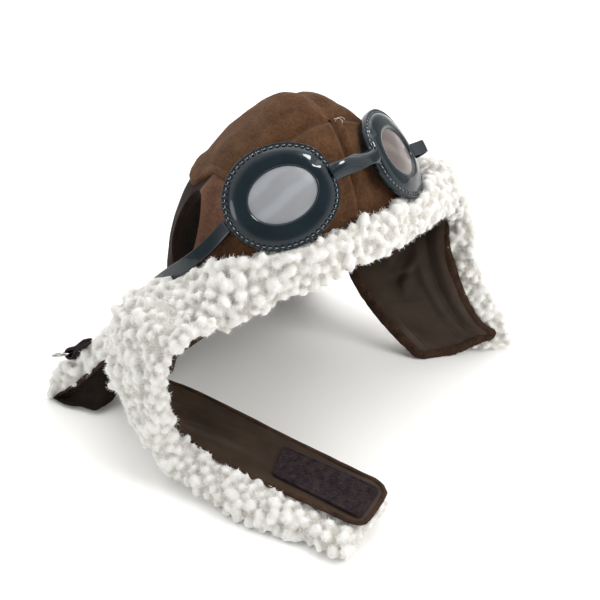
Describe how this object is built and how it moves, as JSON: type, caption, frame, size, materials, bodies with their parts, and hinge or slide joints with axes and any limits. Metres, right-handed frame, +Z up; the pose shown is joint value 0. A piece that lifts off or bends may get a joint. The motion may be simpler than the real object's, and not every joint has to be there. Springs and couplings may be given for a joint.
{
  "type": "aviator hat",
  "caption": "Small aviator hat with goggles, soft pile trim, ear openings, chin strap and nape flap, standing on its flaps.",
  "frame": {"origin": "middle of the base of the hat's box, on the surface that it stands on", "axes": "+Z up, brow and goggles face -Y, the wearer's right side is -X"},
  "size_m": [0.2402, 0.223, 0.173],
  "materials": {
    "wool": "brushed brown felted wool",
    "suede": "brown suede",
    "sherpa": "off-white curly pile",
    "lining": "dark brown satin",
    "hook_loop": "dark hook-and-loop pile",
    "vinyl": "blue-black patent vinyl",
    "lens": "grey mirrored film on a soft lens",
    "metal": "bright nickel wire"
  },
  "bodies": {
    "root": {"crown_gore_front_right": "wool", "crown_gore_front_left": "wool", "crown_gore_back_right": "wool", "crown_gore_back_left": "wool", "ear_panel_right": "suede", "ear_panel_left": "suede", "goggle_frame_right": "vinyl", "goggle_frame_left": "vinyl", "goggle_lens_right": "lens", "goggle_lens_left": "lens", "goggle_bridge": "vinyl", "goggle_band": "vinyl", "brow_trim": "sherpa", "nape_pile": "sherpa", "strap_pile": "sherpa", "flap_pile": "sherpa", "strap_lining": "lining", "flap_lining": "lining", "nape_lining": "lining", "strap_loop_pad": "hook_loop", "ring_tab": "suede", "ring": "metal"}
  },
  "joints": []
}
